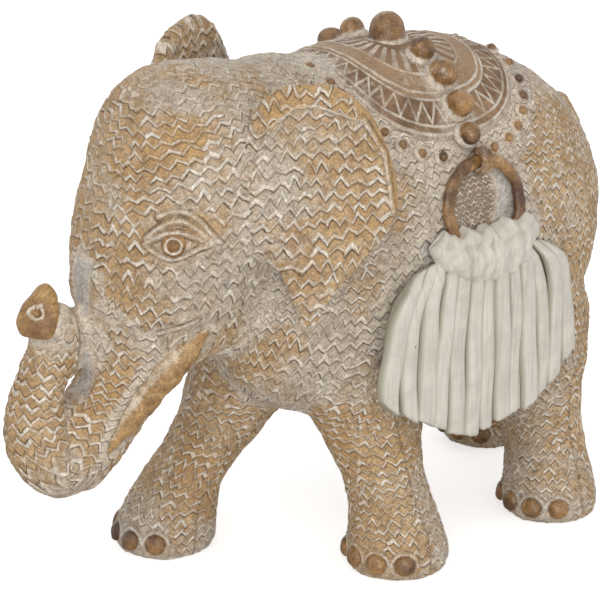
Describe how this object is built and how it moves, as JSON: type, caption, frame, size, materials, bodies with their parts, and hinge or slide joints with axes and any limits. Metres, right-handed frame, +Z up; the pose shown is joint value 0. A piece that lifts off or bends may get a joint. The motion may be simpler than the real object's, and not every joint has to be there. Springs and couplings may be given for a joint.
{
  "type": "elephant figurine",
  "caption": "Standing carved wooden elephant figurine with a raised trunk tip, tusks, spread ears, a beaded saddle cloth, and a ring and tassel on each flank.",
  "frame": {"origin": "on the floor under the middle of the whole figure", "axes": "-X is the way the elephant faces, -Y is its left side, +Z is up"},
  "size_m": [0.1771, 0.085, 0.1333],
  "materials": {
    "carved_wood": "zigzag carving, whitewashed, satin",
    "stained_wood": "plain, stained darker, satin",
    "cloth_wood": "low relief, whitewashed, satin",
    "cream_paint": "cream paint, matt",
    "dowel_wood": "bare"
  },
  "bodies": {
    "root": {"torso": "carved_wood", "head": "carved_wood", "trunk": "carved_wood", "trunk_tip": "stained_wood", "ear_left": "carved_wood", "ear_right": "carved_wood", "leg_front_left": "carved_wood", "leg_front_right": "carved_wood", "leg_hind_left": "carved_wood", "leg_hind_right": "carved_wood", "tail": "carved_wood", "tusk_left": "stained_wood", "tusk_right": "stained_wood", "eye_left": "stained_wood", "eye_right": "stained_wood", "nails_front_left": "stained_wood", "nails_front_right": "stained_wood", "nails_hind_left": "stained_wood", "nails_hind_right": "stained_wood", "saddle_cloth": "cloth_wood", "cloth_studs": "stained_wood", "crown_bead": "stained_wood", "beads_left": "stained_wood", "beads_right": "stained_wood", "ring_left": "stained_wood", "ring_right": "stained_wood", "link_left": "stained_wood", "link_right": "stained_wood", "tassel_head_left": "cream_paint", "tassel_head_right": "cream_paint", "tassel_fringe_left": "cream_paint", "tassel_fringe_right": "cream_paint", "leg_dowels": "dowel_wood", "neck_dowel": "dowel_wood", "trunk_dowel": "dowel_wood", "ear_pegs": "dowel_wood", "tail_peg": "dowel_wood"}
  },
  "joints": []
}
